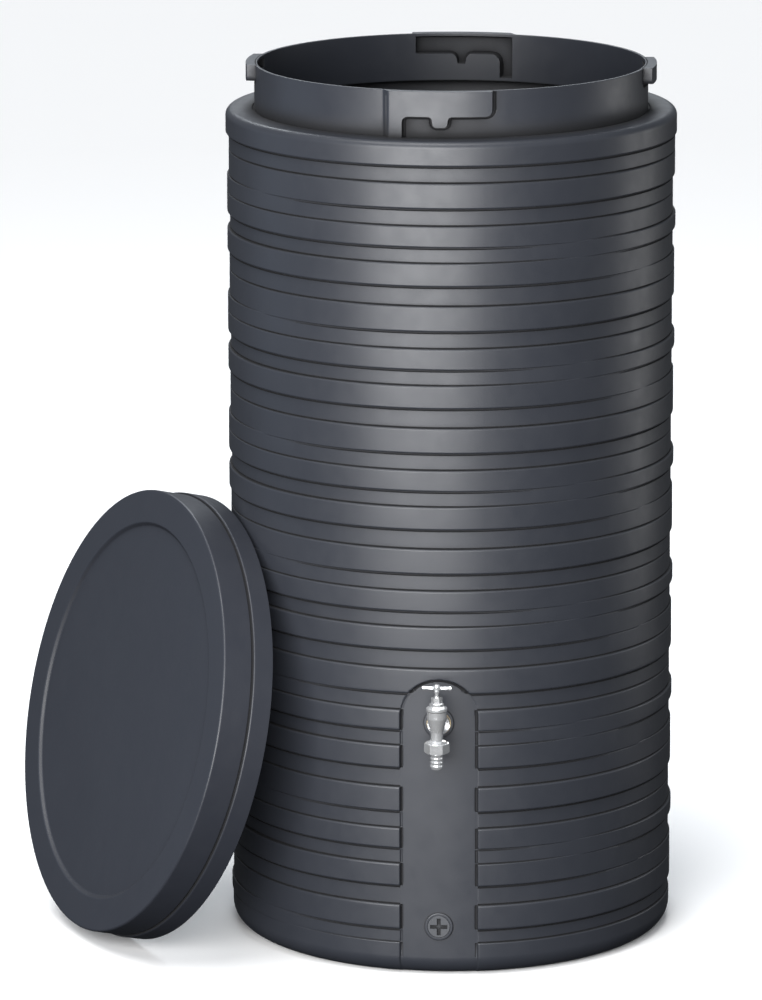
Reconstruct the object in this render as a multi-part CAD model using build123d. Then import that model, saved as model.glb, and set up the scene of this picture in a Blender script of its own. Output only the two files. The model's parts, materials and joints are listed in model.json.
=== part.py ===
from build123d import *
import os
from math import cos, radians, sin

# Rain barrel with a leaning lid, a screw-down tap and a drain plug.
# Millimetres, +Z up, origin at the centre of the base, tap side facing -Y.
# A direction round the barrel is an angle from the front, positive towards +X.

# ---- barrel wall: a stack of round bands, each pushed a little off the axis ----
BAND_R = 285.0
BAND_SHIFT = 2.2
WALL = 4.0
THIN_WALL = 2.6
BANDS_UPWARD = ((31.9, 28), (24.8, 158), (29.2, -37), (20.0, 113), (26.6, -40), (21.7, -134))
FOOT_TOP = 42.5
FIRST_BAND_TOP = 60.6
FOOT_ROUND = 25.0

# ---- collar, shoulder and neck ----
COLLAR_R = 288.0
COLLAR_BOTTOM = 1039.0
COLLAR_ROUND = 9.0
SHOULDER_Z = 1070.0
GROOVE_W = 3.0
GROOVE_DEPTH = 1.5
NECK_R = 251.0
RIM_Z = 1128.0

# ---- bayonet pads on the neck ----
PAD_R = 261.8
PAD_RAMP_START = -72.0
PAD_LEG_LEFT = -63.5
PAD_LEG_RIGHT = -47.5
PAD_RIGHT = 64.5
PAD_DROP = 31.0
PAD_CORNER = 9.0
PAD_FILLET = 4.5
PAD_LEG_FILLET = 8.0
DETENT_DROP = 44.5
DETENT_TOP_HALF = 10.5
DETENT_BOTTOM_HALF = 8.5
LUG_HALF = 50.0
LUG_DROP = 21.0
LUG_CORNER = 8.0

# ---- front panel and the two moulded bosses ----
PANEL_R = 282.6
PANEL_HALF = 49.0
PANEL_TOP = 387.0
TAP_Z = 331.0
DRAIN_Z = 65.0
BOSS_OUT = 2.0
BOSS_IN = -18.0
TAP_BOSS_R = 19.0
DRAIN_BOSS_R = 18.0

# ---- half-inch pipe thread, drawn plain ----
THREAD_R = 10.4
RUN_GAP = 0.05

# ---- inserts and drain plug, measured outwards from the panel's face ----
TAP_INSERT_R = 15.0
DRAIN_INSERT_R = 13.5
INSERT_END = -16.0
SINK_R = 14.5
SINK_FLOOR = -3.0
PLUG_R = 14.2
PLUG_FACE = 2.3
PLUG_HEAD = 3.0
PLUG_END = -15.0
SLOT_LEN = 22.0
SLOT_W = 5.0
SLOT_DEPTH = 2.2
RING_MAJOR = 11.75
RING_MINOR = 1.0

# ---- tap, heights measured from its inlet's axis ----
TAP_REACH = 45.0
GASKET = 1.5
FLANGE = 4.0
FLANGE_R = 14.0
INLET_R = 8.0
INLET_BORE_R = 5.0
BODY_TOP = 27.0
BODY_R = 12.5
BODY_BORE_R = 9.5
BODY_TAPER_TOP = 18.0
FUNNEL_TOP = 14.0
FUNNEL_BOTTOM = 8.0
SPOUT_R = 7.7
CHAMBER_R = 5.8
SEAT_Z = -9.05
SEAT_R = 3.6
OUTLET_R = 13.1
OUTLET_TOP = -12.5
OUTLET_SLOPE = 1.5
OUTLET_END = -20.5
OUTLET_BORE_R = 5.5
BONNET_WASHER = 1.0
BONNET_R = 13.4
BONNET_BOTTOM = 17.0
BONNET_TOP = 32.0
BONNET_HEX = 16.0
BONNET_HEX_TOP = 37.0
SPIGOT_R = 5.0
SPIGOT_TOP = 43.0
PACKING_R = 3.9
PACKING_FLOOR = 39.0
GLAND_HEX = 12.0
GLAND_TOP = 45.0
SCREW_R = 5.0
SCREW_BOTTOM = 15.0
SCREW_TOP = 24.0
SPINDLE_TIP_R = 3.2
SPINDLE_BOTTOM = 4.0
PIN_HOLE_TOP = 14.0
STEM_R = 2.5
STEM_TOP = 51.0
TENON = 3.4
TENON_TOP = 54.0
BAR_Z = 56.7
BAR_R = 2.2
BAR_LEN = 36.0
BAR_KNOB_R = 2.8
BAR_KNOB = 3.0
HUB_PROFILE = ((3.4, 51.0), (3.4, 53.0), (5.2, 55.0), (5.2, 58.4), (3.8, 60.3))
HUB_TOP = 60.3
CAP_SCREW_R = 1.3
CAP_HEAD_R = 2.3
CAP_HEAD = 1.3
CAP_SLOT = (5.0, 0.8, 1.2)
JUMPER_PIN_R = 1.5
JUMPER_PIN_TOP = 13.0
JUMPER_STEM_R = 3.0
JUMPER_PLATE_R = 4.7
JUMPER_PLATE = (-6.5, -4.5)
VALVE_WASHER_R = 5.2
VALVE_SCREW_R = 1.0
VALVE_SCREW_TOP = -2.0
VALVE_HEAD_R = 2.4
VALVE_HEAD = 1.3
TAIL_WASHER = 2.0
TAIL_FLANGE_R = 12.0
TAIL_FLANGE = 1.8
TAIL_COLLAR_R = 8.7
TAIL_CORE_R = 7.2
TAIL_BORE_R = 5.0
BARB_R = 8.65
BARB_PITCH = 5.0
BARBS = 4
BARB_LEAD = 1.2
BARB_GAP = 0.8
TAIL_COLLAR_DROP = 0.6
NUT_HEX = 27.6
NUT_TOP = -13.8
NUT_BOTTOM = -26.2
NUT_BEVEL_OUT = 1.4
NUT_BEVEL_UP = 1.0

# ---- lid, and how it leans on the barrel ----
SKIRT_R = 289.5
SKIRT_H = 27.0
LID_R = 287.0
LID_H = 68.0
LID_ROUND = 3.0
SEAM_BEVEL = 1.0
SEAM_TOP = 2.5
DISH_R = 244.0
DISH_DEPTH = 4.5
DISH_SLOPE = 3.0
LID_WALL = 3.8
LEAN = 13.9
LID_FACING = -60.57
LID_FOOT = (-422.9, -111.4)
HOOK_R = 254.5
HOOK_W = 30.0
HOOK_LOW = 6.5
HOOK_HIGH = 11.5
HOOK_RIB_R = 264.0
HOOK_RIB_TOP = 40.0
HOOK_RIB_W = 5.0
HOOK_ROOT = 2.0


def post(radius, low, high, facing=None):
    """A standing cylinder, pushed off the axis towards `facing` if one is given."""
    shift = BAND_SHIFT if facing is not None else 0.0
    turn = radians(facing or 0.0)
    place = Pos(shift * sin(turn), -shift * cos(turn), low)
    return place * Cylinder(radius, high - low, align=(Align.CENTER, Align.CENTER, Align.MIN))


def round_foot(radius, low, high, corner):
    """A standing cylinder with a rounded bottom edge."""
    body = post(radius, low, high)
    return fillet(body.edges().group_by(Axis.Z)[0], corner)


def turned(*points):
    """A solid turned about Z from (radius, height) points."""
    outline = Plane.XZ * make_face(Polyline(*points, close=True))
    return revolve(outline, Axis.Z)


def hexagon(across_flats, low, high):
    """A standing hexagonal prism."""
    outline = RegularPolygon(across_flats / 2, 6, major_radius=False)
    return Pos(0, 0, low) * extrude(outline, high - low)


def bands():
    """(bottom, top, facing) of every band from the foot to the collar."""
    stack = [(FOOT_TOP, FIRST_BAND_TOP, BANDS_UPWARD[-1][1])]
    level = FIRST_BAND_TOP
    while level < COLLAR_BOTTOM:
        height, facing = BANDS_UPWARD[(len(stack) - 1) % len(BANDS_UPWARD)]
        top = min(level + height, COLLAR_BOTTOM)
        stack.append((level, top, facing))
        level = top
    return stack


def arch(margin):
    """The arched front panel's outline, grown by `margin`, run through the front wall."""
    half = PANEL_HALF + margin
    centre = PANEL_TOP - PANEL_HALF
    low = -10.0
    outline = Pos(0, (centre + low) / 2) * Rectangle(2 * half, centre - low) + Pos(0, centre) * Circle(half)
    return Plane.XZ.offset(BAND_R / 2) * extrude(outline, BAND_R)


def ring(inner, outer, low, high):
    """A standing tube."""
    return post(outer, low, high) - post(inner, low, high)


def lock_pad_outline():
    """Front outline of a bayonet pad: a full-height leg, a bar with a detent, and a channel below."""
    bar_low = RIM_Z - PAD_DROP
    detent_low = RIM_Z - DETENT_DROP
    outline = make_face(Polyline(
        (PAD_LEG_LEFT, RIM_Z), (PAD_LEG_LEFT, SHOULDER_Z - WALL), (PAD_LEG_RIGHT, SHOULDER_Z - WALL),
        (PAD_LEG_RIGHT, bar_low), (-DETENT_TOP_HALF, bar_low), (-DETENT_BOTTOM_HALF, detent_low),
        (DETENT_BOTTOM_HALF, detent_low), (DETENT_TOP_HALF, bar_low), (PAD_RIGHT, bar_low),
        (PAD_RIGHT, RIM_Z), close=True))
    inner_corners = outline.vertices().filter_by(lambda v: abs(v.X) < PAD_RIGHT - 1 and v.Y < RIM_Z - 1
                                                 and v.Y > SHOULDER_Z and abs(v.X - PAD_LEG_LEFT) > 1)
    outline = fillet(inner_corners.sort_by(Axis.X)[1:], PAD_FILLET)
    leg_corner = outline.vertices().filter_by(lambda v: abs(v.X - PAD_LEG_RIGHT) < 1 and v.Y > SHOULDER_Z)
    outline = fillet(leg_corner, PAD_LEG_FILLET)
    return fillet(outline.vertices().group_by(Axis.X)[-1].sort_by(Axis.Y)[0], PAD_CORNER)


def lug_outline():
    """Front outline of a plain side lug."""
    outline = Pos(0, RIM_Z - LUG_DROP / 2) * Rectangle(2 * LUG_HALF, LUG_DROP)
    return fillet(outline.vertices().group_by(Axis.Y)[0], LUG_CORNER)


def on_neck(outline, inner, outer, low, high):
    """An outline in the XZ plane, wrapped as a block between two radii at the front of the neck."""
    block = Plane.XZ.offset(NECK_R / 2) * extrude(outline, NECK_R)
    return block & ring(inner, outer, low, high)


def pad_ramp():
    """The sloped side of a lock pad's leg, which leads the lid's hook past it."""
    def at(x, radius):
        return (x, -(radius ** 2 - x ** 2) ** 0.5)
    wedge = make_face(Polyline(at(PAD_RAMP_START, NECK_R - 1), at(PAD_LEG_LEFT, PAD_R),
                               at(PAD_LEG_LEFT + 1, NECK_R - 1), close=True))
    return Pos(0, 0, SHOULDER_Z - WALL) * extrude(wedge, RIM_Z - SHOULDER_Z + WALL)


def from_panel(centre_z):
    """A plane on the panel's face, its Z axis pointing out of the barrel."""
    return Plane(origin=(0, -PANEL_R, centre_z), x_dir=(1, 0, 0), z_dir=(0, -1, 0))


def barrel_shell():
    body = round_foot(BAND_R, 0, FOOT_TOP, FOOT_ROUND)
    body += [post(BAND_R, low, high, facing) for low, high, facing in bands()]
    body -= arch(0) - round_foot(PANEL_R, 0, RIM_Z, FOOT_ROUND - 1)
    collar = post(COLLAR_R, COLLAR_BOTTOM, SHOULDER_Z)
    body += fillet(collar.edges().group_by(Axis.Z)[-1], COLLAR_ROUND)
    body -= ring(NECK_R, NECK_R + GROOVE_W, SHOULDER_Z - GROOVE_DEPTH, SHOULDER_Z)
    body += post(NECK_R, SHOULDER_Z - WALL, RIM_Z)

    pad = on_neck(lock_pad_outline(), NECK_R - WALL, PAD_R, SHOULDER_Z - WALL, RIM_Z) + pad_ramp()
    lug = on_neck(lug_outline(), NECK_R - WALL, PAD_R, SHOULDER_Z - WALL, RIM_Z)
    for turn in (0, 180):
        body += Rot(0, 0, turn) * pad
        body += Rot(0, 0, turn + 90) * lug

    inside = BAND_R - BAND_SHIFT - THIN_WALL
    body -= round_foot(inside, WALL, SHOULDER_Z - WALL, FOOT_ROUND - WALL)
    collar_inside = post(COLLAR_R - WALL, COLLAR_BOTTOM + WALL, SHOULDER_Z - WALL)
    body -= fillet(collar_inside.edges().group_by(Axis.Z)[-1], COLLAR_ROUND - WALL)
    body -= post(NECK_R - WALL, SHOULDER_Z - 2 * WALL, RIM_Z + 1)
    pad_inside = on_neck(offset(lock_pad_outline(), -WALL, kind=Kind.INTERSECTION), NECK_R - 2 * WALL,
                         PAD_R - WALL, SHOULDER_Z, RIM_Z - WALL)
    lug_inside = on_neck(offset(lug_outline(), -WALL, kind=Kind.INTERSECTION), NECK_R - 2 * WALL,
                         PAD_R - WALL, SHOULDER_Z, RIM_Z - WALL)
    for turn in (0, 180):
        body -= Rot(0, 0, turn) * pad_inside
        body -= Rot(0, 0, turn + 90) * lug_inside

    tap_place = from_panel(TAP_Z)
    drain_place = from_panel(DRAIN_Z)
    body += tap_place * post(TAP_BOSS_R, BOSS_IN, BOSS_OUT)
    body += drain_place * post(DRAIN_BOSS_R, BOSS_IN, BOSS_OUT)
    body -= tap_place * post(TAP_INSERT_R, INSERT_END, BOSS_OUT + 1)
    body -= tap_place * post(THREAD_R + RUN_GAP, BOSS_IN - 1, BOSS_OUT)
    body -= drain_place * post(SINK_R, SINK_FLOOR, BOSS_OUT + 1)
    body -= drain_place * post(DRAIN_INSERT_R, INSERT_END, BOSS_OUT)
    body -= drain_place * post(THREAD_R + RUN_GAP, BOSS_IN - 1, BOSS_OUT)
    return body


def inserts():
    bore = THREAD_R + RUN_GAP
    return {
        "tap_insert": from_panel(TAP_Z) * ring(bore, TAP_INSERT_R, INSERT_END, BOSS_OUT),
        "drain_insert": from_panel(DRAIN_Z) * ring(bore, DRAIN_INSERT_R, INSERT_END, SINK_FLOOR),
    }


def drain():
    place = from_panel(DRAIN_Z)
    plug = post(PLUG_R, PLUG_FACE - PLUG_HEAD, PLUG_FACE)
    plug = chamfer(plug.edges().group_by(Axis.Z)[-1], 0.5)
    plug += post(THREAD_R, PLUG_END, PLUG_FACE - PLUG_HEAD)
    for turn in (0, 90):
        slot = Pos(0, 0, PLUG_FACE - SLOT_DEPTH / 2) * Box(SLOT_LEN, SLOT_W, SLOT_DEPTH)
        plug -= Rot(0, 0, turn) * slot
    seal_level = (SINK_FLOOR + PLUG_FACE - PLUG_HEAD) / 2
    return {
        "drain_plug": place * plug,
        "drain_o_ring": place * Pos(0, 0, seal_level) * Torus(RING_MAJOR, RING_MINOR),
    }


def tap_body():
    body = turned((0, BODY_TOP), (BODY_R, BODY_TOP), (BODY_R, BODY_TAPER_TOP), (SPOUT_R, 0),
                  (SPOUT_R, OUTLET_TOP + OUTLET_SLOPE),
                  (OUTLET_R, OUTLET_TOP), (OUTLET_R, OUTLET_END), (0, OUTLET_END))
    inlet_place = Plane(origin=(0, 0, 0), x_dir=(1, 0, 0), z_dir=(0, 1, 0))
    face = TAP_REACH - BOSS_OUT - GASKET
    body += inlet_place * post(INLET_R, 0, face)
    body += inlet_place * post(FLANGE_R, face - FLANGE, face)
    body += inlet_place * post(THREAD_R, face, TAP_REACH - INSERT_END - 2)
    body -= turned((0, BODY_TOP), (BODY_BORE_R, BODY_TOP), (BODY_BORE_R, FUNNEL_TOP),
                   (CHAMBER_R, FUNNEL_BOTTOM), (CHAMBER_R, SEAT_Z), (SEAT_R, SEAT_Z), (SEAT_R, OUTLET_TOP),
                   (OUTLET_BORE_R, OUTLET_TOP), (OUTLET_BORE_R, OUTLET_END), (0, OUTLET_END))
    body -= inlet_place * post(INLET_BORE_R, 0, TAP_REACH - INSERT_END)
    return body


def tap_head():
    """Bonnet, its washer, the packing and the gland nut: they stay still."""
    seat = BODY_TOP + BONNET_WASHER
    bore = SCREW_R + RUN_GAP
    stem_hole = STEM_R + 2 * RUN_GAP
    bonnet = turned((bore, BONNET_BOTTOM), (BODY_BORE_R - RUN_GAP, BONNET_BOTTOM),
                    (BODY_BORE_R - RUN_GAP, seat), (BONNET_R, seat),
                    (BONNET_R, BONNET_TOP - 1), (BONNET_R - 1, BONNET_TOP), (SPIGOT_R, BONNET_TOP),
                    (SPIGOT_R, SPIGOT_TOP), (PACKING_R, SPIGOT_TOP), (PACKING_R, PACKING_FLOOR),
                    (stem_hole, PACKING_FLOOR), (stem_hole, BONNET_TOP - 1), (bore, BONNET_TOP - 1))
    bonnet += hexagon(BONNET_HEX, BONNET_TOP, BONNET_HEX_TOP) - post(SPIGOT_R, BONNET_TOP, BONNET_HEX_TOP)
    nut = hexagon(GLAND_HEX, BONNET_HEX_TOP + 0.3, GLAND_TOP)
    nut -= post(SPIGOT_R + RUN_GAP, BONNET_HEX_TOP, SPIGOT_TOP) + post(stem_hole, SPIGOT_TOP, GLAND_TOP)
    return {
        "bonnet": bonnet,
        "bonnet_washer": ring(BODY_BORE_R, BODY_R - 0.2, BODY_TOP, seat),
        "gland_packing": ring(STEM_R + RUN_GAP, PACKING_R, PACKING_FLOOR, SPIGOT_TOP),
        "gland_nut": nut,
    }


def spindle_parts():
    """Spindle and T-handle: they turn together."""
    pin_hole = JUMPER_PIN_R + RUN_GAP
    tip = SPINDLE_BOTTOM + RUN_GAP
    spindle = turned((pin_hole, tip), (SPINDLE_TIP_R, tip), (SPINDLE_TIP_R, SCREW_BOTTOM - 1),
                     (SCREW_R, SCREW_BOTTOM), (SCREW_R, SCREW_TOP), (STEM_R, SCREW_TOP + 1),
                     (STEM_R, STEM_TOP), (0, STEM_TOP), (0, PIN_HOLE_TOP), (pin_hole, PIN_HOLE_TOP))
    tenon = Pos(0, 0, (STEM_TOP + TENON_TOP) / 2) * Box(TENON, TENON, TENON_TOP - STEM_TOP)
    across = Plane(origin=(0, 0, BAR_Z), x_dir=(0, 1, 0), z_dir=(1, 0, 0))
    hub = turned((0, STEM_TOP), *HUB_PROFILE, (0, HUB_TOP))
    hub -= tenon
    hub -= across * post(BAR_R, -BAR_LEN, BAR_LEN)
    hub -= post(CAP_SCREW_R, BAR_Z, HUB_TOP)
    bar = post(BAR_R, -BAR_LEN / 2, BAR_LEN / 2)
    for end in (-1, 1):
        bar += Pos(0, 0, end * (BAR_LEN - BAR_KNOB) / 2) * Cylinder(BAR_KNOB_R, BAR_KNOB)
    screw = post(CAP_SCREW_R, BAR_Z + BAR_R, HUB_TOP) + post(CAP_HEAD_R, HUB_TOP, HUB_TOP + CAP_HEAD)
    screw -= Pos(0, 0, HUB_TOP + CAP_HEAD) * Box(*CAP_SLOT)
    return {"spindle": spindle + tenon, "handle_hub": hub, "handle_bar": across * bar, "handle_screw": screw}


def valve_parts():
    """Jumper valve with its washer and screw: they rise with the spindle without turning."""
    plate_low, plate_high = JUMPER_PLATE
    washer_low = SEAT_Z + RUN_GAP
    jumper = turned((VALVE_SCREW_R, plate_low), (JUMPER_PLATE_R, plate_low), (JUMPER_PLATE_R, plate_high),
                    (JUMPER_STEM_R, plate_high), (JUMPER_STEM_R, SPINDLE_BOTTOM),
                    (JUMPER_PIN_R, SPINDLE_BOTTOM), (JUMPER_PIN_R, JUMPER_PIN_TOP), (0, JUMPER_PIN_TOP),
                    (0, VALVE_SCREW_TOP), (VALVE_SCREW_R, VALVE_SCREW_TOP))
    head = post(VALVE_HEAD_R, washer_low - VALVE_HEAD, washer_low)
    return {
        "jumper_valve": jumper,
        "valve_washer": ring(VALVE_SCREW_R, VALVE_WASHER_R, washer_low, plate_low),
        "washer_screw": post(VALVE_SCREW_R, washer_low, VALVE_SCREW_TOP) + head,
    }


def hose_parts():
    """Barbed tail, its washer, and the union nut that holds it to the spout."""
    washer_top = OUTLET_END - 2 * RUN_GAP
    flange_top = washer_top - TAIL_WASHER
    flange_low = flange_top - TAIL_FLANGE
    collar_low = NUT_BOTTOM - TAIL_COLLAR_DROP
    outline = [(TAIL_BORE_R, flange_top), (TAIL_FLANGE_R, flange_top), (TAIL_FLANGE_R, flange_low),
               (TAIL_COLLAR_R, flange_low), (TAIL_COLLAR_R, collar_low), (TAIL_CORE_R, collar_low)]
    for barb in range(BARBS):
        top = collar_low - BARB_LEAD - barb * BARB_PITCH
        outline += [(TAIL_CORE_R, top), (BARB_R, top), (BARB_R, top - BARB_LEAD)]
        outline += [(TAIL_CORE_R, top - BARB_PITCH + BARB_GAP)]
    outline += [(TAIL_BORE_R, outline[-1][1])]
    lip_top = flange_low - 2 * RUN_GAP
    nut = hexagon(NUT_HEX, NUT_BOTTOM, NUT_TOP)
    corner = NUT_HEX / 2 / cos(radians(30))
    nut &= turned((0, NUT_BOTTOM), (corner - NUT_BEVEL_OUT, NUT_BOTTOM), (corner, NUT_BOTTOM + NUT_BEVEL_UP),
                  (corner, NUT_TOP - NUT_BEVEL_UP), (corner - NUT_BEVEL_OUT, NUT_TOP), (0, NUT_TOP))
    nut -= post(OUTLET_R + RUN_GAP, lip_top, NUT_TOP) + post(TAIL_COLLAR_R + 2 * RUN_GAP, NUT_BOTTOM, lip_top)
    return {
        "hose_tail": turned(*outline),
        "hose_washer": ring(OUTLET_BORE_R, TAIL_FLANGE_R, flange_top, washer_top),
        "union_nut": nut,
    }


def tap():
    place = Pos(0, -PANEL_R - TAP_REACH, TAP_Z)
    pieces = {"tap_body": tap_body(), **tap_head(), **spindle_parts(), **valve_parts(), **hose_parts()}
    placed = {name: place * piece for name, piece in pieces.items()}
    gasket = ring(THREAD_R + 0.2, FLANGE_R + 0.5, BOSS_OUT, BOSS_OUT + GASKET)
    placed["tap_gasket"] = from_panel(TAP_Z) * gasket
    return placed


def lid_upright():
    """The lid lying the right way up, its skirt's rim at Z = 0."""
    inner_top = LID_H - LID_WALL
    dish_top = LID_H - DISH_DEPTH
    dish_foot = DISH_R - DISH_SLOPE
    skirt_inside = SKIRT_R - LID_WALL
    inside = LID_R - LID_WALL
    lid = turned((skirt_inside, 0), (SKIRT_R, 0), (SKIRT_R, SKIRT_H),
                 (LID_R - SEAM_BEVEL, SKIRT_H + SEAM_BEVEL), (LID_R, SKIRT_H + SEAM_TOP),
                 (LID_R, LID_H - LID_ROUND), (LID_R - LID_ROUND, LID_H), (DISH_R, LID_H),
                 (dish_foot, dish_top), (0, dish_top), (0, dish_top - LID_WALL),
                 (dish_foot + LID_WALL / 2, dish_top - LID_WALL), (DISH_R + LID_WALL / 2, inner_top),
                 (inside, inner_top), (inside, SKIRT_H), (skirt_inside, SKIRT_H - SEAM_TOP))
    reach = SKIRT_R - HOOK_ROOT
    hook = Pos((HOOK_R + reach) / 2, 0, (HOOK_LOW + HOOK_HIGH) / 2) * Box(
        reach - HOOK_R, HOOK_W, HOOK_HIGH - HOOK_LOW)
    rib_reach = LID_R - HOOK_ROOT
    hook += Pos((HOOK_RIB_R + rib_reach) / 2, 0, (HOOK_HIGH + HOOK_RIB_TOP) / 2) * Box(
        rib_reach - HOOK_RIB_R, HOOK_RIB_W, HOOK_RIB_TOP - HOOK_HIGH)
    for turn in (0, 180):
        lid += Rot(0, 0, turn) * hook
    return lid


def lid_plane():
    """Where the lid's rim lies: on the ground at LID_FOOT, leaning back by LEAN."""
    facing = radians(LID_FACING)
    lean = radians(LEAN)
    outward = Vector(sin(facing), -cos(facing), 0)
    normal = outward * cos(lean) + Vector(0, 0, sin(lean))
    uphill = outward * -sin(lean) + Vector(0, 0, cos(lean))
    return Plane(origin=Vector(*LID_FOOT, 0) + uphill * SKIRT_R, x_dir=normal.cross(uphill), z_dir=normal)


def main():
    parts = {"barrel_shell": barrel_shell(), **inserts(), **drain(), **tap()}
    parts["lid_shell"] = lid_plane() * lid_upright()
    os.makedirs("parts", exist_ok=True)
    for name, piece in parts.items():
        export_step(piece, f"parts/{name}.step")


main()
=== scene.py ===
import json
from math import cos, pi, radians, sin, sqrt

import bmesh
import bpy
import numpy as np
from mathutils import Matrix, Vector


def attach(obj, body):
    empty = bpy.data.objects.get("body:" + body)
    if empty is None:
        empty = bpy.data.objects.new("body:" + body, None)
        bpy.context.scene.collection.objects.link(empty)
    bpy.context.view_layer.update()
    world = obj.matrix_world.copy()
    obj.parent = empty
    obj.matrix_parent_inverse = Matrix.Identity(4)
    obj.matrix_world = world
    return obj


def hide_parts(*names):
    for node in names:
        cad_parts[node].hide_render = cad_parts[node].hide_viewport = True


# Rain barrel with a leaning lid, a chrome tap and a drain plug. Dimensions are in millimetres unless a
# comment says otherwise. A direction round the barrel is an angle from the front, towards +X.

MM = 0.001

# ---- barrel wall ----
BAND_R = 285.0
BAND_SHIFT = 2.2
WALL = 4.0
# Height and facing of six bands, which repeat from the foot to the collar.
BANDS_UPWARD = ((31.9, 28), (24.8, 158), (29.2, -37), (20.0, 113), (26.6, -40), (21.7, -134))
FOOT_TOP = 42.5
FIRST_BAND_TOP = 60.6
FOOT_ROUND = 25.0
COLLAR_R = 288.0
COLLAR_BOTTOM = 1039.0
COLLAR_ROUND = 9.0
SHOULDER_Z = 1070.0
GROOVE_W = 3.0
GROOVE_DEPTH = 1.5
GROOVE_ROUND = 0.5
NECK_R = 251.0
RIM_Z = 1128.0
STEP_OUTER_ROUND = 2.2
STEP_ROUND_SHARE = 0.75
STEP_SPREAD = 0.05
CREASE_ABOVE_W = 1.6
CREASE_UNDER_W = 2.8
CREASE_DEPTH = 1.8
CREASE_DEPTH_SHARE = 0.9
# Profile of a crease as shares of its depth and of its width.
CREASE_SHAPE = ((0.0, 0.0), (1.0, 0.15), (1.0, 0.6), (0.0, 1.0))

# ---- mesh lines of the wall ----
PANEL_MESH_HALF = 56.0
PANEL_MESH_STEP = 1.0
REST_COLUMNS = 224
# Distances outside the panel's edge, then shares of the crease's width inside it.
EDGE_COLUMNS = (0.03, 0.25, 0.6, 1.4)
CREASE_COLUMNS = (0.1, 0.2, 0.35, 0.5, 0.65, 0.8, 0.9)
BOSS_MESH_HALF = 21.0
BOSS_MESH_STEP = 1.5
BAND_MARGIN = 4.0
INNER_MARGIN = 3.0
INNER_BEND = 2.5
BASE_INNER_R = 130.0
INNER_REACH = 2.0

# ---- bayonet pads ----
PAD_R = 261.8
PAD_RAMP_START = -72.0
PAD_LEG_LEFT = -63.5
PAD_LEG_RIGHT = -47.5
PAD_RIGHT = 64.5
PAD_DROP = 31.0
DETENT_DROP = 44.5
DETENT_TOP_HALF = 10.5
DETENT_BOTTOM_HALF = 8.5
PAD_FILLET = 5.0
PAD_LEG_FILLET = 9.0
PAD_CORNER = 9.0
LUG_HALF = 50.0
LUG_DROP = 21.0
LUG_CORNER = 8.0
PAD_CREASE_W = 4.4
PAD_CREASE_DEPTH = 2.4
RECESS_SLOPE = 2.0
PAD_ROOT = NECK_R - 2.0
PAD_BEVEL = 1.1
PAD_MESH_STEP = 4.0
RAMP_MESH_STEP = 1.0
RAMP_LOWEST = 0.02
FAR_OUTSIDE = -9.0

# ---- mesh lines of the neck ----
NECK_FINE_HALF = 18.6
NECK_FINE_STEP = 0.2
# First, last and step of the coarse angles between two pads.
NECK_COARSE = (20.0, 70.0, 2.0)
NECK_OUTER_STEP = 0.9
NECK_INNER_STEP = 1.0
NECK_SINK = 3.0
RIM_ROUND_OUTSIDE = 0.9
RIM_ROUND_INSIDE = 1.0

# ---- front panel and bosses ----
PANEL_R = 282.6
PANEL_HALF = 49.0
PANEL_TOP = 387.0
PANEL_EDGE = 1.8
PANEL_CREASE_W = 2.8
# A band that stands out from the panel by the first amount has no crease, by the second a full one.
PANEL_FLUSH = (0.6, 2.0)
TAP_Z = 331.0
DRAIN_Z = 65.0
BOSS_OUT = 2.0
BOSS_IN = -18.0
BOSS_ROUND = 1.3
TAP_BOSS_R = 19.0
DRAIN_BOSS_R = 18.0
TAP_POCKET_R = 15.0
PLUG_SINK_R = 14.5
PLUG_SINK_END = -3.0
DRAIN_POCKET_R = 13.5
HOLE_MARGIN = 0.5
INSERT_END = -16.0
THREAD_BORE_R = 10.45

# ---- lid ----
SKIRT_R = 289.5
SKIRT_H = 27.0
LID_R = 287.0
LID_H = 68.0
LID_WALL = 3.8
DISH_R = 244.0
DISH_DEPTH = 4.5
DISH_SLOPE = 3.4
DISH_ROUND = 1.6
LID_EDGE_ROUND = 3.0
SEAM_TOP = 2.2
SEAM_DEPTH = 1.8
SKIRT_ROUND = 2.2
SKIRT_LIP_ROUND = 0.9
HOOK_R = 254.5
HOOK_HALF = 15.0
HOOK_LOW = 6.5
HOOK_HIGH = 11.5
RIB_R = 264.0
RIB_HALF = 2.5
RIB_HIGH = 40.0
LEAN = 13.9
LID_FACING = -60.57
LID_FOOT = (-422.9, -111.4)

# ---- camera, aimed so that the barrel stands right of centre ----
CAMERA_AZIMUTH = 3.2
CAMERA_BACK = 7743.6
CAMERA_ASIDE = -14.3
CAMERA_HEIGHT = 2283.3
CAMERA_PITCH = 12.58
CAMERA_LENS = 220.8
CAMERA_SHIFT = -0.059

# ---- surroundings: light below and above the horizon, and the floor ----
WORLD_LIGHT = (0.02, 0.24)
FLOOR_HALF = 45000.0

# ---- softboxes, in metres and watts: azimuth, distance, height, width, tall, power, colour and the
# height they are aimed at ----
SOFTBOXES = {
    "key": (-12, 3.2, 1.12, 2.9, 2.2, 225, (1.0, 1.0, 1.0), 0.75),
    "left fill": (-96, 3.0, 0.8, 1.5, 1.5, 4, (0.66, 0.80, 1.0), 0.6),
    "back fill": (190, 2.6, 3.4, 2.4, 1.6, 70, (0.90, 0.95, 1.0), 0.6),
    "right rim": (110, 3.0, 0.65, 1.2, 1.6, 13, (1.0, 1.0, 1.0), 0.6),
}

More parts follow.
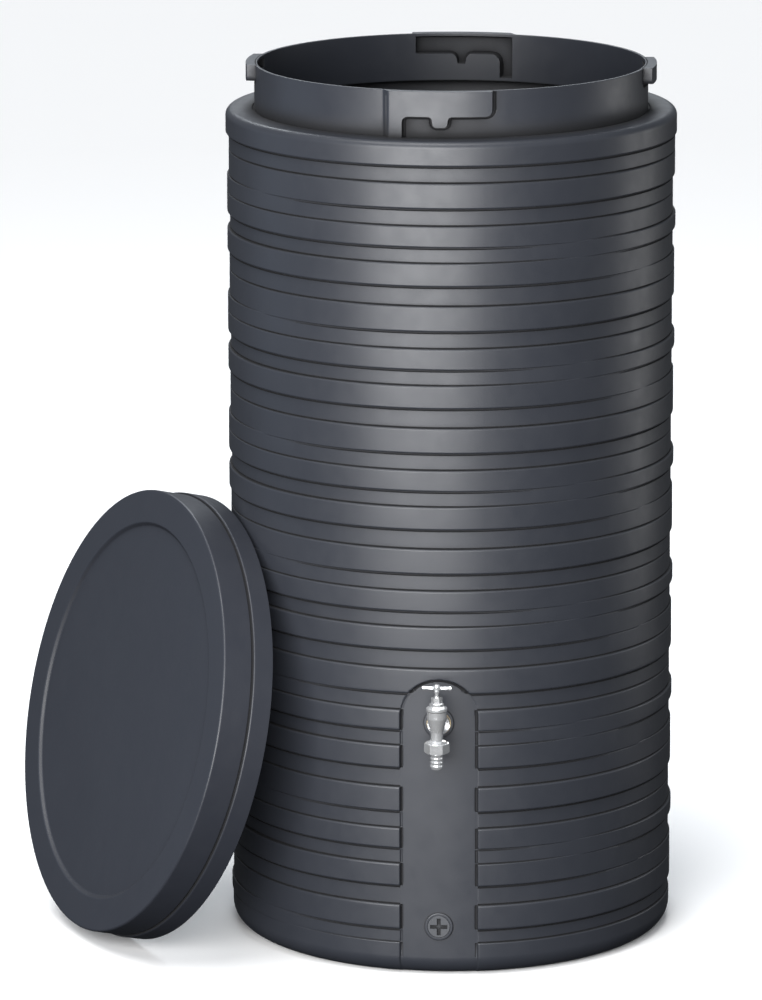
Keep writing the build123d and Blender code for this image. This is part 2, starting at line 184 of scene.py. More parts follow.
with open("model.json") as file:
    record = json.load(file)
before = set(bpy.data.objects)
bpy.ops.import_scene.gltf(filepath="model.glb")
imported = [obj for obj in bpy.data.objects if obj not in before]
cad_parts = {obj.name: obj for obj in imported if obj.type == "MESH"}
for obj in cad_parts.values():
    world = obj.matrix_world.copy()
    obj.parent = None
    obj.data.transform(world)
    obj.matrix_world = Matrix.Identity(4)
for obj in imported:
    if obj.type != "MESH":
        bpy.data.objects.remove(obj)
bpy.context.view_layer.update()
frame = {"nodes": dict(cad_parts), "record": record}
scene = bpy.context.scene


# ---------------------------------------------------------------- profiles
def arc(centre, radius, start, end, steps):
    """(r, z) points on a circle, from one angle to the other in degrees."""
    angles = np.radians(np.linspace(start, end, steps))
    return [(centre[0] + radius * cos(a), centre[1] + radius * sin(a)) for a in angles]


def rounded(corners, steps=5):
    """A profile from (r, z, corner radius) points, each corner turned into a small arc."""
    points = []
    for i, (r, z, radius) in enumerate(corners):
        here = np.array((r, z))
        if radius == 0 or i in (0, len(corners) - 1):
            points.append(here)
            continue
        to_last = np.array(corners[i - 1][:2]) - here
        to_next = np.array(corners[i + 1][:2]) - here
        to_last /= np.linalg.norm(to_last)
        to_next /= np.linalg.norm(to_next)
        for t in np.linspace(0, 1, steps):
            points.append(here + radius * ((1 - t) ** 2 * to_last + t ** 2 * to_next))
    return [tuple(p) for p in points]


# ---------------------------------------------------------------- surfaces as (vertices, faces)
def grid(points, closed=True):
    """Quads over an array of points with the shape (rows, columns, 3)."""
    rows, columns = points.shape[:2]
    index = np.arange(rows * columns).reshape(rows, columns)
    right = np.roll(index, -1, axis=1)
    quads = np.stack([index[:-1], right[:-1], right[1:], index[1:]], axis=-1)
    if not closed:
        quads = quads[:, :-1]
    return points.reshape(-1, 3), quads.reshape(-1, 4).tolist()


def turned(profile, segments=192, ring=False):
    """A surface turned about Z from (r, z) points; `ring` joins the last point to the first."""
    outline = np.array(profile + profile[:1] if ring else profile)
    angles = np.linspace(0, 2 * pi, segments, endpoint=False)
    r = outline[:, :1]
    points = np.stack([r * np.sin(angles), -r * np.cos(angles), outline[:, 1:] + 0 * angles], axis=-1)
    return grid(points)


def placed(surface, matrix):
    """A surface moved by a 4 x 4 matrix."""
    vertices, faces = surface
    m = np.array(matrix)
    return vertices @ m[:3, :3].T + m[:3, 3], faces


def out_of_panel(z):
    """Matrix from a part's own frame, Z along its axis, to the panel's face at a height."""
    return Matrix.Translation((0, -PANEL_R, z)) @ Matrix.Rotation(radians(90), 4, "X")


def add_piece(name, surfaces, sharp=35, finish=None):
    """One mesh object from several surfaces, in metres, smooth but for its sharp edges."""
    vertices, faces, start = [], [], 0
    for points, quads in surfaces:
        vertices.append(np.asarray(points) * MM)
        faces += [[start + k for k in quad] for quad in quads]
        start += len(points)
    mesh = bpy.data.meshes.new(name)
    mesh.from_pydata(np.vstack(vertices).tolist(), [], faces)
    bm = bmesh.new()
    bm.from_mesh(mesh)
    bmesh.ops.remove_doubles(bm, verts=bm.verts, dist=1e-6)
    bmesh.ops.recalc_face_normals(bm, faces=bm.faces)
    bm.to_mesh(mesh)
    bm.free()
    mesh.shade_smooth()
    mesh.set_sharp_from_angle(angle=radians(sharp))
    piece = bpy.data.objects.new(name, mesh)
    scene.collection.objects.link(piece)
    weighted = piece.modifiers.new("even shading", "WEIGHTED_NORMAL")
    weighted.keep_sharp = True
    if finish:
        mesh.materials.append(finish)
    return piece


# ---------------------------------------------------------------- barrel
def bands():
    """(bottom, top, facing) of every band from the foot to the collar."""
    stack = [(FOOT_TOP, FIRST_BAND_TOP, BANDS_UPWARD[-1][1])]
    level = FIRST_BAND_TOP
    while level < COLLAR_BOTTOM:
        height, facing = BANDS_UPWARD[(len(stack) - 1) % len(BANDS_UPWARD)]
        top = min(level + height, COLLAR_BOTTOM)
        stack.append((level, top, facing))
        level = top
    return stack


def columns():
    """Angles of the wall's upright mesh lines, close together across the front panel."""
    even = np.arange(-PANEL_MESH_HALF, PANEL_MESH_HALF + PANEL_MESH_STEP / 2, PANEL_MESH_STEP)
    outside = PANEL_HALF + np.array(EDGE_COLUMNS)
    inside = PANEL_HALF - PANEL_CREASE_W * np.array(CREASE_COLUMNS)
    front = np.arcsin(np.sort(np.concatenate([even, outside, -outside, inside, -inside])) / BAND_R)
    rest = np.linspace(front[-1], 2 * pi + front[0], REST_COLUMNS + 2)[1:-1]
    return np.concatenate([front, rest])


def band_radius(facing, angle):
    """Distance from the barrel's axis to a band that is shifted towards one side."""
    turn = angle - radians(facing)
    return BAND_SHIFT * np.cos(turn) + np.sqrt(BAND_R ** 2 - (BAND_SHIFT * np.sin(turn)) ** 2)


def step_rows(z, below, above):
    """Rows that lead from one band's radius to the next: a rounded edge with a crease at its foot."""
    drop = below - above
    size = np.abs(drop)
    outer = np.minimum(STEP_OUTER_ROUND, STEP_ROUND_SHARE * size)
    crease = np.minimum(CREASE_DEPTH, CREASE_DEPTH_SHARE * size)
    bend = np.linspace(0, pi / 2, 5)
    low_out = [(below - outer * (1 - cos(a)), z - outer * (1 - sin(a))) for a in bend]
    low_in = [(above - crease * deep, z + CREASE_ABOVE_W * share) for deep, share in CREASE_SHAPE]
    high_in = [(below - crease * deep, z - CREASE_UNDER_W * share) for deep, share in CREASE_SHAPE[::-1]]
    high_out = [(above - outer * (1 - sin(a)), z + outer * (1 - cos(a))) for a in bend]
    rows = []
    for k, (low, high) in enumerate(zip(low_out + low_in, high_in + high_out)):
        r = np.where(drop > 0, low[0], high[0])
        level = np.where(drop > 0, low[1], high[1]) + STEP_SPREAD * (k - len(bend) + 1)
        rows.append((r, level))
    return rows


def extra_levels():
    """Heights where the wall needs a finer mesh: round the bosses and up the panel's arched head."""
    reach = BOSS_MESH_HALF
    levels = [np.arange(z - reach, z + reach + 0.5, BOSS_MESH_STEP) for z in (DRAIN_Z, TAP_Z)]
    levels.append(np.arange(TAP_Z + reach + 1, PANEL_TOP + BAND_MARGIN, PANEL_MESH_STEP))
    return np.concatenate(levels)


def outside_panel(x, z):
    """How far a point of the front wall lies outside the arched panel's outline."""
    head = PANEL_TOP - PANEL_HALF
    return np.where(z < head, np.abs(x) - PANEL_HALF, np.hypot(x, z - head) - PANEL_HALF)


def crease_outside(distance, width, depth):
    """Depth of a crease that lies between 0 and its width away from an outline."""
    return depth * np.clip(2 - np.abs(4 * distance / width - 2), 0, 1)


def with_panel(rows, angle):
    """The rows with the arched panel let into the front."""
    made = []
    for r, z in rows:
        outside = np.where(np.cos(angle) > 0, outside_panel(r * np.sin(angle), z), BAND_R)
        share = np.clip(outside / PANEL_EDGE, 0, 1)
        share = np.sqrt(1 - (1 - share) ** 2)
        proud = np.clip((r - PANEL_R - PANEL_FLUSH[0]) / (PANEL_FLUSH[1] - PANEL_FLUSH[0]), 0, 1)
        crease = crease_outside(-outside, PANEL_CREASE_W, CREASE_DEPTH) * proud
        made.append((PANEL_R + (r - PANEL_R) * share - crease, z))
    return made


def foot_rows(angle):
    """The flat base and its rounded edge, drawn in where the panel runs over it."""
    share = np.clip((np.abs(BAND_R * np.sin(angle)) - PANEL_HALF) / PANEL_EDGE, 0, 1)
    share = np.where(np.cos(angle) > 0, share, 1.0)
    radius = PANEL_R + (BAND_R - PANEL_R) * share
    corner = FOOT_ROUND - 1 + share
    rows = [(0 * angle, 0 * angle), (0 * angle + BASE_INNER_R, 0 * angle)]
    for a in np.radians(np.linspace(-90, 0, 12)):
        rows.append((radius - corner * (1 - cos(a)), corner * (1 + sin(a))))
    return rows


def wall_rows(angle):
    """Outer wall from the foot to the collar."""
    rows, fine = [], extra_levels()
    last = BAND_R + 0 * angle
    for low, high, facing in bands():
        r = band_radius(facing, angle)
        rows += step_rows(low, last, r)
        inside = fine[(fine > low + BAND_MARGIN) & (fine < high - BAND_MARGIN)]
        rows += [(r, z + 0 * angle) for z in inside]
        last = r
    rows += step_rows(COLLAR_BOTTOM, last, COLLAR_R + 0 * angle)
    return with_panel(rows, angle)


def collar_rows(angle):
    """Collar, shoulder and groove, and back down inside to the underside of the shoulder."""
    top = COLLAR_R - COLLAR_ROUND
    profile = arc((top, SHOULDER_Z - COLLAR_ROUND), COLLAR_ROUND, 0, 90, 9)
    floor = SHOULDER_Z - GROOVE_DEPTH
    profile += rounded([(top - 1, SHOULDER_Z, 0), (NECK_R + GROOVE_W, SHOULDER_Z, GROOVE_ROUND),
                        (NECK_R + GROOVE_W - 0.6, floor, GROOVE_ROUND), (NECK_R - 1, floor, 0)], 4)
    under = SHOULDER_Z - WALL
    profile += [(NECK_R - WALL + 0.3, floor), (NECK_R - WALL + 0.3, under)]
    profile += arc((top, under - COLLAR_ROUND + WALL), COLLAR_ROUND - WALL, 90, 0, 6)
    profile += [(COLLAR_R - WALL, COLLAR_BOTTOM + WALL)]
    return [(r + 0 * angle, z + 0 * angle) for r, z in profile]


def inner_rows(angle):
    """The inside of the wall, following the bands, and the inside of the base."""
    rows, fine = [], extra_levels()
    for low, high, facing in reversed(bands()):
        r = np.minimum(band_radius(facing, angle), PANEL_R + INNER_REACH) - WALL
        inside = fine[(fine > low + INNER_MARGIN) & (fine < high - INNER_MARGIN)]
        levels = np.concatenate([[high - INNER_BEND, low + INNER_BEND], inside])
        rows += [(r, z + 0 * angle) for z in np.sort(levels)[::-1]]
    floor_r = BAND_R - BAND_SHIFT - WALL
    corner = FOOT_ROUND - WALL
    profile = arc((floor_r - corner, corner + WALL), corner, 0, -90, 8)
    profile += [(BASE_INNER_R, WALL), (0, WALL)]
    return rows + [(r + 0 * angle, z + 0 * angle) for r, z in profile]


def barrel_wall():
    """The wall as one closed grid, open where the bosses stand."""
    angle = columns()
    rows = foot_rows(angle) + wall_rows(angle) + collar_rows(angle) + inner_rows(angle)
    r = np.array([row[0] for row in rows])
    z = np.array([row[1] for row in rows])
    vertices, faces = grid(np.stack([r * np.sin(angle), -r * np.cos(angle), z], axis=-1))
    return vertices, [f for f in faces if not in_boss(vertices[f])]


def in_boss(corners):
    """Whether a face lies wholly behind one of the bosses, which have their own mesh."""
    if corners[:, 1].max() > -PANEL_R / 2:
        return False
    for z, radius in ((TAP_Z, TAP_BOSS_R), (DRAIN_Z, DRAIN_BOSS_R)):
        if np.hypot(corners[:, 0], corners[:, 2] - z).max() < radius - HOLE_MARGIN:
            return True
    return False


def tap_boss():
    """Round boss behind the tap, with the pocket of its brass insert."""
    profile = rounded([
        (THREAD_BORE_R, BOSS_IN, 0), (TAP_BOSS_R, BOSS_IN, 0.5), (TAP_BOSS_R, BOSS_OUT, BOSS_ROUND),
        (TAP_POCKET_R, BOSS_OUT, 0.3), (TAP_POCKET_R, INSERT_END, 0), (THREAD_BORE_R, INSERT_END, 0)])
    return placed(turned(profile, 96, ring=True), out_of_panel(TAP_Z))


def drain_boss():
    """Round boss of the drain, with the plug's seat and the pocket of its brass insert."""
    profile = rounded([
        (THREAD_BORE_R, BOSS_IN, 0), (DRAIN_BOSS_R, BOSS_IN, 0.5), (DRAIN_BOSS_R, BOSS_OUT, BOSS_ROUND),
        (PLUG_SINK_R, BOSS_OUT, 0.3), (PLUG_SINK_R, PLUG_SINK_END, 0), (DRAIN_POCKET_R, PLUG_SINK_END, 0),
        (DRAIN_POCKET_R, INSERT_END, 0), (THREAD_BORE_R, INSERT_END, 0)])
    return placed(turned(profile, 96, ring=True), out_of_panel(DRAIN_Z))


# ---------------------------------------------------------------- neck
def pad_outline(left=PAD_RAMP_START):
    """Corners of a bayonet pad as (x, z): a full-height leg, then a bar with a detent over a channel."""
    low = RIM_Z - PAD_DROP
    detent = RIM_Z - DETENT_DROP
    foot = SHOULDER_Z - WALL
    return rounded([
        (left, RIM_Z, 0), (left, foot, 0), (PAD_LEG_RIGHT, foot, 0),
        (PAD_LEG_RIGHT, low, PAD_LEG_FILLET), (-DETENT_TOP_HALF, low, PAD_FILLET),
        (-DETENT_BOTTOM_HALF, detent, PAD_FILLET), (DETENT_BOTTOM_HALF, detent, PAD_FILLET),
        (DETENT_TOP_HALF, low, PAD_FILLET), (PAD_RIGHT, low, PAD_CORNER), (PAD_RIGHT, RIM_Z, 0)], 8)


def lug_outline():
    """Corners of a plain side lug as (x, z)."""
    low = RIM_Z - LUG_DROP
    return rounded([(-LUG_HALF, RIM_Z, 0), (-LUG_HALF, low, LUG_CORNER), (LUG_HALF, low, LUG_CORNER),
                    (LUG_HALF, RIM_Z, 0)], 8)


def depth_inside(x, z, outline):
    """How deep points lie inside an outline, negative outside it."""
    corners = np.array(outline)
    best = np.full(x.shape, 1e9)
    inside = np.zeros(x.shape, bool)
    for a, b in zip(corners, np.roll(corners, -1, axis=0)):
        side = b - a
        along = np.clip(((x - a[0]) * side[0] + (z - a[1]) * side[1]) / (side @ side), 0, 1)
        best = np.minimum(best, np.hypot(x - a[0] - along * side[0], z - a[1] - along * side[1]))
        crosses = (a[1] > z) != (b[1] > z)
        run = side[0] * (z - a[1]) / (side[1] if side[1] else 1e-9) + a[0]
        inside ^= crosses & (x < run)
    return np.where(inside, best, -best)


def depth_in_pads(angle, z, left=PAD_RAMP_START):
    """How deep the neck's points at one height lie inside a pad or lug, negative outside them."""
    depth = np.full(angle.shape, FAR_OUTSIDE)
    for quarter in range(4):
        local = angle - quarter * pi / 2
        x = NECK_R * np.sin(local)
        found = depth_inside(x, z + 0 * x, lug_outline() if quarter % 2 else pad_outline(left))
        depth = np.where(np.cos(local) > 0.5, np.maximum(depth, found), depth)
    return depth


def neck_columns():
    """Angles of the neck's upright mesh lines, close together at the pads and lugs."""
    near = np.arange(-NECK_FINE_HALF, NECK_FINE_HALF + NECK_FINE_STEP / 2, NECK_FINE_STEP)
    first, last, step = NECK_COARSE
    quarter = np.concatenate([near, np.arange(first, last + step / 2, step)])
    return np.radians(np.concatenate([quarter + turn for turn in (0, 90, 180, 270)]))


def neck_ring():
    """The neck's wall, creased round each pad and lug and with a recess behind them."""
    angle = neck_columns()
    foot = SHOULDER_Z - NECK_SINK
    inner = NECK_R - WALL
    rows, depths = [], []
    for z in np.arange(foot, RIM_Z - 1, NECK_OUTER_STEP):
        crease = crease_outside(-depth_in_pads(angle, z, -NECK_R), PAD_CREASE_W, PAD_CREASE_DEPTH)
        rows.append((NECK_R - crease, z + 0 * angle))
        depths.append(depth_in_pads(angle, z))
    rim = rounded([(NECK_R, RIM_Z - 1, 0), (NECK_R, RIM_Z, RIM_ROUND_OUTSIDE),
                   (inner, RIM_Z, RIM_ROUND_INSIDE), (inner, RIM_Z - 3, 0)], 5)
    rows += [(r + 0 * angle, z + 0 * angle) for r, z in rim]
    for z in np.arange(RIM_Z - 3.5, foot + 1, -NECK_INNER_STEP):
        share = np.clip((depth_in_pads(angle, z) - WALL) / RECESS_SLOPE, 0, 1)
        share = share * share * (3 - 2 * share)
        rows.append((inner + (PAD_R - NECK_R) * share, z + 0 * angle))
    rows.append((inner + 0 * angle, foot + 0 * angle))
    rows.append(rows[0])
    depths += [np.full(angle.shape, FAR_OUTSIDE)] * (len(rows) - len(depths))
    r = np.array([row[0] for row in rows])
    z = np.array([row[1] for row in rows])
    buried = np.array(depths).reshape(-1) > WALL - 1
    vertices, faces = grid(np.stack([r * np.sin(angle), -r * np.cos(angle), z], axis=-1))
    return vertices, [f for f in faces if not buried[f].all()]


def ramp_share(x):
    """How far a pad's sloped side has risen at a place across it, from almost 0 to 1."""
    share = min(max((x - PAD_RAMP_START) / (PAD_LEG_LEFT - PAD_RAMP_START), 0.0), 1.0)
    return max(share * share * (3 - 2 * share), RAMP_LOWEST)


def pad_block(outline, turn):
    """A pad or lug wrapped on the neck's outside, open at the back, its edges bevelled."""
    bm = bmesh.new()
    bm.faces.new([bm.verts.new((x, 0, z)) for x, z in outline])
    widest = max(x for x, _ in outline)
    ramp_cuts = np.arange(PAD_RAMP_START + 1, PAD_LEG_LEFT + 1, RAMP_MESH_STEP)
    for x in np.concatenate([ramp_cuts, np.arange(PAD_LEG_LEFT + 2, widest - 1, PAD_MESH_STEP)]):
        bmesh.ops.bisect_plane(bm, geom=bm.verts[:] + bm.edges[:] + bm.faces[:], dist=1e-4,
                               plane_co=(x, 0, 0), plane_no=(1, 0, 0))
    flat = bm.faces[:]
    extruded = bmesh.ops.extrude_face_region(bm, geom=flat)
    raised = {v for v in extruded["geom"] if isinstance(v, bmesh.types.BMVert)}
    sloped = outline[0][0] == PAD_RAMP_START
    for v in bm.verts:
        radius = PAD_ROOT
        if v in raised:
            radius = NECK_R + (PAD_R - NECK_R) * (ramp_share(v.co.x) if sloped else 1.0)
        v.co.y = -sqrt(radius ** 2 - v.co.x ** 2)
    bmesh.ops.delete(bm, geom=flat, context="FACES")
    bmesh.ops.recalc_face_normals(bm, faces=bm.faces[:])
    corner = radians(50)
    edge = [e for e in bm.edges if all(v in raised for v in e.verts) and e.calc_face_angle(0) > corner]
    bmesh.ops.bevel(bm, geom=edge, offset=PAD_BEVEL, segments=3, profile=0.5, affect="EDGES",
                    clamp_overlap=True)
    bm.verts.index_update()
    vertices = np.array([v.co[:] for v in bm.verts])
    faces = [[v.index for v in f.verts] for f in bm.faces]
    bm.free()
    return placed((vertices, faces), Matrix.Rotation(radians(turn), 4, "Z"))


def barrel():
    """Every surface of the barrel: its wall, bosses, neck, pads and lugs."""
    surfaces = [barrel_wall(), tap_boss(), drain_boss(), neck_ring()]
    for turn in (0, 180):
        surfaces.append(pad_block(pad_outline(), turn))
        surfaces.append(pad_block(lug_outline(), turn + 90))
    return surfaces


# ---------------------------------------------------------------- lid
def lid_matrix():
    """From the lid's own frame, its rim at Z = 0, to where it leans."""
    facing = radians(LID_FACING)
    lean = radians(LEAN)
    outward = Vector((sin(facing), -cos(facing), 0))
    normal = outward * cos(lean) + Vector((0, 0, sin(lean)))
    uphill = outward * -sin(lean) + Vector((0, 0, cos(lean)))
    across = normal.cross(uphill)
    origin = Vector((*LID_FOOT, 0)) + uphill * SKIRT_R
    return Matrix.Translation(origin) @ Matrix((across, uphill * -1, normal)).transposed().to_4x4()


def lid_profile():
    """Half section of the lid from the dish out to the skirt's lip and back along the underside."""
    top = LID_H
    dish = LID_H - DISH_DEPTH
    under = dish - LID_WALL
    seam = LID_R - SEAM_DEPTH
    lip = SKIRT_R - LID_WALL
    return rounded([
        (0, dish, 0), (120, dish, 0), (DISH_R - DISH_SLOPE, dish, DISH_ROUND), (DISH_R, top, DISH_ROUND),
        (LID_R, top, LID_EDGE_ROUND), (LID_R, SKIRT_H + SEAM_TOP, 0.9), (seam, SKIRT_H + 1.9, 0.2),
        (seam, SKIRT_H, 0.2), (SKIRT_R, SKIRT_H, SKIRT_ROUND), (SKIRT_R, 0, SKIRT_LIP_ROUND),
        (lip, 0, SKIRT_LIP_ROUND), (lip, SKIRT_H - 3, 1.5), (LID_R - LID_WALL, SKIRT_H, 1.5),
        (LID_R - LID_WALL, top - LID_WALL, 2.5), (DISH_R + 2, top - LID_WALL, 1.0),
        (DISH_R - 1.5, under, 1.0), (120, under, 0), (0, under, 0)], 6)


def box(low, high):
    """A plain box as a surface, for the lid's moulded hooks."""
    corners = np.array([(x, y, z) for x in (low[0], high[0]) for y in (low[1], high[1])
                        for z in (low[2], high[2])], float)
    faces = [[0, 1, 3, 2], [4, 6, 7, 5], [0, 4, 5, 1], [2, 3, 7, 6], [0, 2, 6, 4], [1, 5, 7, 3]]
    return corners, faces


def lid_hooks():
    """Two ledges inside the skirt that catch under the neck's pads, each stiffened by a rib."""
    made = []
    for turn in (0, 180):
        spin = Matrix.Rotation(radians(turn), 4, "Z")
        ledge = box((HOOK_R, -HOOK_HALF, HOOK_LOW), (SKIRT_R - 2, HOOK_HALF, HOOK_HIGH))
        rib = box((RIB_R, -RIB_HALF, HOOK_HIGH - 0.5), (LID_R - 2, RIB_HALF, RIB_HIGH))
        made += [placed(ledge, spin), placed(rib, spin)]
    return made


# ---------------------------------------------------------------- materials
def new_material(name):
    """A material with its nodes, its links and its main shader."""
    material = bpy.data.materials.new(name)
    material.use_nodes = True
    nodes = material.node_tree.nodes
    shader = next(n for n in nodes if n.type == "BSDF_PRINCIPLED")
    return material, nodes, material.node_tree.links, shader


def noise(nodes, links, coords, scale, detail, rough=0.55):
    """A cloudy 0 to 1 pattern."""
    node = nodes.new("ShaderNodeTexNoise")
    node.inputs["Scale"].default_value = scale
    node.inputs["Detail"].default_value = detail
    node.inputs["Roughness"].default_value = rough
    links.new(coords, node.inputs["Vector"])
    return node.outputs["Fac"]


def spread(nodes, links, value, low, high):
    """A 0 to 1 value mapped to a range."""
    node = nodes.new("ShaderNodeMapRange")
    node.inputs["From Min"].default_value = 0.3
    node.inputs["From Max"].default_value = 0.7
    node.inputs["To Min"].default_value = low
    node.inputs["To Max"].default_value = high
    links.new(value, node.inputs["Value"])
    return node.outputs["Result"]


def bump(nodes, links, height, strength, distance, below=None):
    """Surface relief from a pattern, on top of another relief if one is given."""
    node = nodes.new("ShaderNodeBump")
    node.inputs["Strength"].default_value = strength
    node.inputs["Distance"].default_value = distance
    links.new(height, node.inputs["Height"])
    if below:
        links.new(below, node.inputs["Normal"])
    return node.outputs["Normal"]


def painted_crease_shade(nodes, links, reach, closed, darkest=0.06):
    """Painted shade: a factor that falls from 1 in the open to a low value deep in the piece's own creases,
    darkening them as occlusion would.
    """
    node = nodes.new("ShaderNodeAmbientOcclusion")
    node.only_local = True
    node.samples = 8
    node.inputs["Distance"].default_value = reach
    fade = nodes.new("ShaderNodeMapRange")
    fade.interpolation_type = "SMOOTHSTEP"
    for socket, value in zip(("From Min", "From Max", "To Min", "To Max"), (closed, 0.98, darkest, 1.0)):
        fade.inputs[socket].default_value = value
    links.new(node.outputs["AO"], fade.inputs["Value"])
    return fade.outputs["Result"]


def moulded_plastic(name, dark, light, rough, grain, grain_depth, reach=0.03, closed=0.5):
    """Satin plastic: slight tone and gloss variation, painted shade and duller gloss in its creases, a soft
    wave and a fine grain.
    """
    material, nodes, links, shader = new_material(name)
    coords = nodes.new("ShaderNodeTexCoord").outputs["Object"]
    cloud = noise(nodes, links, coords, 7.0, 4.0)
    tone = nodes.new("ShaderNodeMix")
    tone.data_type = "RGBA"
    links.new(cloud, tone.inputs["Factor"])
    tone.inputs["A"].default_value = (*dark, 1)
    tone.inputs["B"].default_value = (*light, 1)
    # Painted shade: the base colour is mixed towards near black where the piece's own creases are occluded.
    crease = painted_crease_shade(nodes, links, reach, closed)
    shaded = nodes.new("ShaderNodeMix")
    shaded.data_type = "RGBA"
    links.new(crease, shaded.inputs["Factor"])
    shaded.inputs["A"].default_value = (0.003, 0.003, 0.004, 1)
    links.new(tone.outputs["Result"], shaded.inputs["B"])
    links.new(shaded.outputs["Result"], shader.inputs["Base Color"])
    scuff = noise(nodes, links, coords, 38.0, 7.0, 0.65)
    gloss = nodes.new("ShaderNodeMix")
    links.new(crease, gloss.inputs["Factor"])
    gloss.inputs["A"].default_value = 0.85
    links.new(spread(nodes, links, scuff, rough[0], rough[1]), gloss.inputs["B"])
    links.new(gloss.outputs["Result"], shader.inputs["Roughness"])
    wave = bump(nodes, links, noise(nodes, links, coords, 9.0, 2.0), 0.25, 0.0015)
    fine = bump(nodes, links, noise(nodes, links, coords, grain, 3.0), 0.35, grain_depth, wave)
    links.new(fine, shader.inputs["Normal"])
    return material


def metal(name, colour, rough, purity=1.0, marks=0.2):
    """Plated or machined metal with faint polishing marks; a lower purity gives a paler, satin plating."""
    material, nodes, links, shader = new_material(name)
    coords = nodes.new("ShaderNodeTexCoord").outputs["Object"]
    shader.inputs["Base Color"].default_value = (*colour, 1)
    shader.inputs["Metallic"].default_value = purity
    wear = noise(nodes, links, coords, 260.0, 6.0, 0.6)
    links.new(spread(nodes, links, wear, rough[0], rough[1]), shader.inputs["Roughness"])
    links.new(bump(nodes, links, noise(nodes, links, coords, 900.0, 3.0), marks, 0.00004),
              shader.inputs["Normal"])
    return material


def soft_material(name, colour, rough):
    """Rubber or packing cord."""
    material, nodes, links, shader = new_material(name)
    coords = nodes.new("ShaderNodeTexCoord").outputs["Object"]
    shader.inputs["Base Color"].default_value = (*colour, 1)
    links.new(spread(nodes, links, noise(nodes, links, coords, 500.0, 4.0), rough - 0.1, rough + 0.1),
              shader.inputs["Roughness"])
    links.new(bump(nodes, links, noise(nodes, links, coords, 1500.0, 2.0), 0.3, 0.0001),
              shader.inputs["Normal"])
    return material


finishes = {
    "barrel_plastic": moulded_plastic("barrel plastic", (0.021, 0.0235, 0.030), (0.026, 0.0285, 0.036),
                                      (0.36, 0.46), 1400.0, 0.00008),
    "lid_plastic": moulded_plastic("lid plastic", (0.018, 0.020, 0.027), (0.022, 0.0245, 0.032),
                                   (0.40, 0.50), 1400.0, 0.00008),
    # The plug's painted crease shade has a short reach and sets in at slight occlusion, which paints its
    # slot dark.
    "plug_plastic": moulded_plastic("plug plastic", (0.045, 0.048, 0.055), (0.055, 0.058, 0.065),
                                    (0.42, 0.55), 2600.0, 0.0003, 0.006, 0.86),
    "chrome": metal("chrome", (0.90, 0.91, 0.92), (0.10, 0.18), 0.8),
    "brass": metal("brass", (0.60, 0.47, 0.27), (0.3, 0.45)),
    "rubber": soft_material("rubber", (0.02, 0.02, 0.02), 0.6),
    "packing": soft_material("packing", (0.55, 0.52, 0.44), 0.8),
}

# ---------------------------------------------------------------- pieces
barrel_piece = add_piece("barrel", barrel(), finish=finishes["barrel_plastic"])
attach(barrel_piece, "barrel")
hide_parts("barrel_shell")

lid_surfaces = [turned(lid_profile(), 320)] + lid_hooks()
lid_piece = add_piece("lid", [placed(s, lid_matrix()) for s in lid_surfaces], finish=finishes["lid_plastic"])
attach(lid_piece, "lid")
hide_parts("lid_shell")

for part in frame["record"]["subparts"]:
    node = frame["nodes"][part["node"]]
    node.data.materials.clear()
    node.data.materials.append(finishes[part["material_slot"]])


# ---------------------------------------------------------------- floor, light and camera
def add_floor():
    """A pale floor that the camera sees but that throws no light back on the barrel."""
    lines = np.linspace(-FLOOR_HALF, FLOOR_HALF, 9)
    floor = add_piece("floor", [grid(np.array([[(x, y, 0.0) for x in lines] for y in lines]), closed=False)])
    material, _, _, shader = new_material("floor")
    shader.inputs["Base Color"].default_value = (0.95, 0.95, 0.95, 1)
    shader.inputs["Roughness"].default_value = 0.9
    floor.data.materials.append(material)
    floor.visible_glossy = False
    floor.visible_diffuse = False


def softbox(name, azimuth, distance, height, width, tall, power, colour, aim):
    """An area light round the barrel, turned towards a height on its axis."""
    light = bpy.data.lights.new(name, "AREA")
    light.shape = "RECTANGLE"
    light.size = width
    light.size_y = tall
    light.energy = power
    light.color = colour
    lamp = bpy.data.objects.new(name, light)
    turn = radians(azimuth)
    lamp.location = (distance * sin(turn), -distance * cos(turn), height)
    lamp.rotation_euler = (Vector((0, 0, aim)) - lamp.location).to_track_quat("-Z", "Y").to_euler()
    lamp.visible_camera = False
    scene.collection.objects.link(lamp)


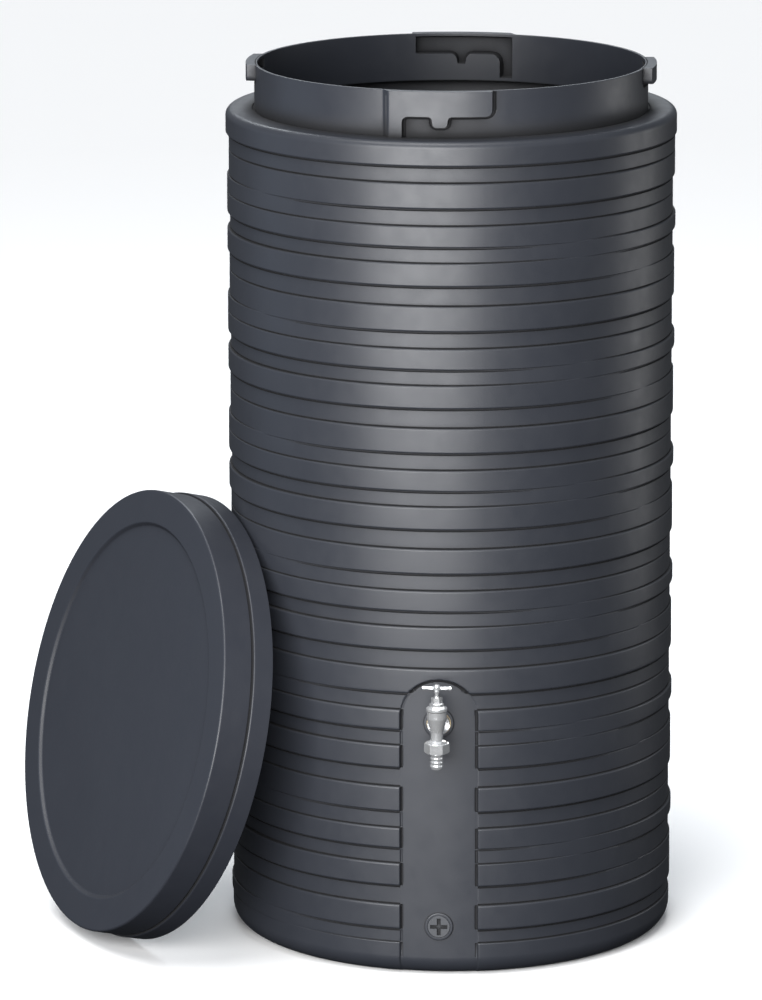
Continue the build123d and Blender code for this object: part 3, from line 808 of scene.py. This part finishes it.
def add_sun():
    """A high, very soft light that evens out the floor."""
    light = bpy.data.lights.new("sun", "SUN")
    light.energy = 2.6
    light.angle = radians(40)
    lamp = bpy.data.objects.new("sun", light)
    lamp.rotation_euler = (radians(20), 0, radians(-30))
    scene.collection.objects.link(lamp)


def add_world():
    """Surroundings that light the scene dimly, less from below, and look white beyond the floor."""
    world = bpy.data.worlds.new("studio")
    world.use_nodes = True
    nodes, links = world.node_tree.nodes, world.node_tree.links
    split = nodes.new("ShaderNodeSeparateXYZ")
    links.new(nodes.new("ShaderNodeTexCoord").outputs["Generated"], split.inputs["Vector"])
    fade = nodes.new("ShaderNodeMapRange")
    fade.interpolation_type = "SMOOTHSTEP"
    for socket, value in zip(("From Min", "From Max", "To Min", "To Max"), (-0.45, 0.35, *WORLD_LIGHT)):
        fade.inputs[socket].default_value = value
    links.new(split.outputs["Z"], fade.inputs["Value"])
    background = nodes["Background"]
    background.inputs["Color"].default_value = (0.84, 0.91, 1.0, 1)
    backdrop = nodes.new("ShaderNodeMix")
    links.new(nodes.new("ShaderNodeLightPath").outputs["Is Camera Ray"], backdrop.inputs["Factor"])
    links.new(fade.outputs["Result"], backdrop.inputs["A"])
    backdrop.inputs["B"].default_value = 1.0
    links.new(backdrop.outputs["Result"], background.inputs["Strength"])
    scene.world = world


def add_lights():
    """Softboxes, the sun and the surroundings."""
    for name, setting in SOFTBOXES.items():
        softbox(name, *setting)
    add_sun()
    add_world()


def add_camera():
    """Camera in front of the tap, slightly to its right, looking down a little."""
    data = bpy.data.cameras.new("camera")
    data.lens = CAMERA_LENS
    data.sensor_width = 36.0
    data.shift_x = CAMERA_SHIFT
    data.clip_end = 100.0
    data.dof.use_dof = False
    camera = bpy.data.objects.new("camera", data)
    turn = radians(CAMERA_AZIMUTH)
    right = Vector((cos(turn), sin(turn), 0))
    back = Vector((sin(turn), -cos(turn), 0))
    camera.location = (right * CAMERA_ASIDE + back * CAMERA_BACK + Vector((0, 0, CAMERA_HEIGHT))) * MM
    camera.rotation_euler = (radians(90 - CAMERA_PITCH), 0, turn)
    scene.collection.objects.link(camera)
    scene.camera = camera


add_floor()
add_lights()
add_camera()
scene.view_settings.view_transform = "Standard"
